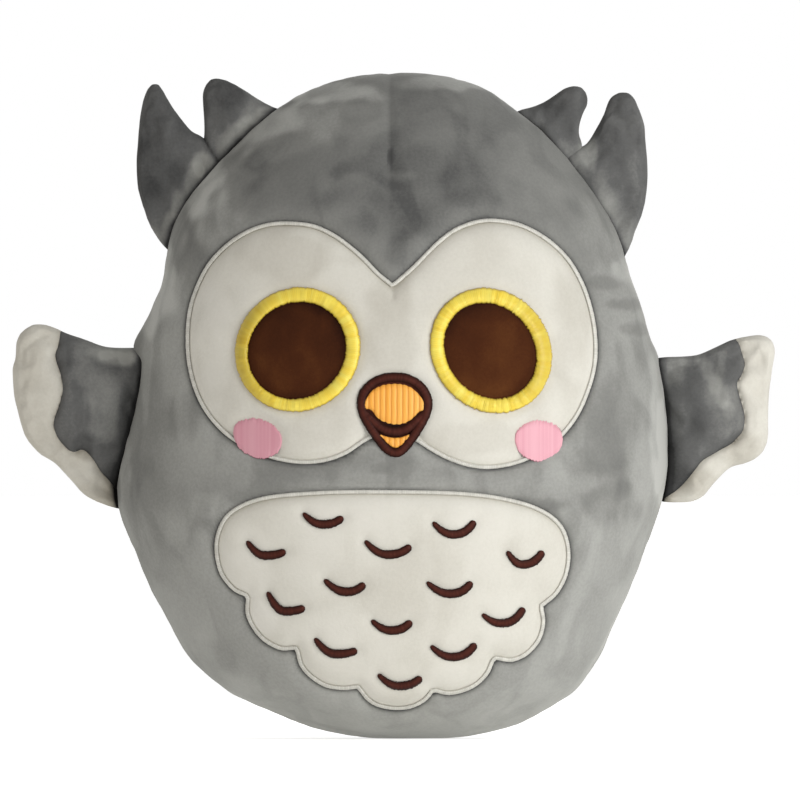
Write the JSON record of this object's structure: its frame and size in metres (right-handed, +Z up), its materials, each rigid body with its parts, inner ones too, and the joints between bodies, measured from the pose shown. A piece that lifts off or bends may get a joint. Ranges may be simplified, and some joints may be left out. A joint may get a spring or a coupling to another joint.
{
  "type": "plush owl",
  "caption": "Stuffed plush owl: ball-shaped body with stitched face, belly and feather marks, swinging wings and bending ear tufts.",
  "frame": {"origin": "centre of the bounding box at the height of the seat it stands on", "axes": "+Z up, -Y the way the owl looks, +X the owl's own left"},
  "size_m": [0.3488, 0.1786, 0.3],
  "materials": {
    "grey_plush": "short velvety pile",
    "dark_plush": "short velvety pile",
    "white_plush": "short velvety pile",
    "brown_plush": "smooth short pile",
    "filling": "loose polyester fibre",
    "pale_thread": "satin stitch",
    "yellow_thread": "satin stitch",
    "orange_thread": "satin stitch",
    "brown_thread": "satin stitch",
    "pink_thread": "satin stitch"
  },
  "bodies": {
    "body": {"body_front_panel": "grey_plush", "body_back_left_panel": "grey_plush", "body_back_right_panel": "grey_plush", "body_filling": "filling", "face_patch": "white_plush", "face_border": "pale_thread", "belly_patch": "white_plush", "belly_border": "pale_thread", "beak_outline": "brown_thread", "upper_beak": "orange_thread", "lower_beak": "orange_thread", "left_eye_disc": "brown_plush", "left_eye_ring": "yellow_thread", "left_cheek": "pink_thread", "right_eye_disc": "brown_plush", "right_eye_ring": "yellow_thread", "right_cheek": "pink_thread", "feather_mark_01": "brown_thread", "feather_mark_02": "brown_thread", "feather_mark_03": "brown_thread", "feather_mark_04": "brown_thread", "feather_mark_05": "brown_thread", "feather_mark_06": "brown_thread", "feather_mark_07": "brown_thread", "feather_mark_08": "brown_thread", "feather_mark_09": "brown_thread", "feather_mark_10": "brown_thread", "feather_mark_11": "brown_thread", "feather_mark_12": "brown_thread", "feather_mark_13": "brown_thread"},
    "left_wing": {"left_wing_panel": "dark_plush", "left_wing_border": "white_plush"},
    "left_ear": {"left_ear_outer_tuft": "dark_plush", "left_ear_inner_tuft": "dark_plush"},
    "right_wing": {"right_wing_panel": "dark_plush", "right_wing_border": "white_plush"},
    "right_ear": {"right_ear_outer_tuft": "dark_plush", "right_ear_inner_tuft": "dark_plush"}
  },
  "joints": [
    {"name": "left_wing_swing", "type": "hinge", "parent": "body", "child": "left_wing", "pos_m": [0.11942, 0, 0.1395], "axis": [0.073, 0, -0.9973], "range_deg": [-45, 45], "stiffness_Nm_per_rad": 0.006},
    {"name": "right_wing_swing", "type": "hinge", "parent": "body", "child": "right_wing", "pos_m": [-0.11942, 0, 0.1395], "axis": [0.073, 0, 0.9973], "range_deg": [-45, 45], "stiffness_Nm_per_rad": 0.006},
    {"name": "left_ear_bend", "type": "hinge", "parent": "body", "child": "left_ear", "pos_m": [0.07835, 0, 0.25225], "axis": [0.6157, 0, -0.788], "range_deg": [-25, 25], "stiffness_Nm_per_rad": 0.006},
    {"name": "right_ear_bend", "type": "hinge", "parent": "body", "child": "right_ear", "pos_m": [-0.07835, 0, 0.25225], "axis": [0.6157, 0, 0.788], "range_deg": [-25, 25], "stiffness_Nm_per_rad": 0.006}
  ]
}
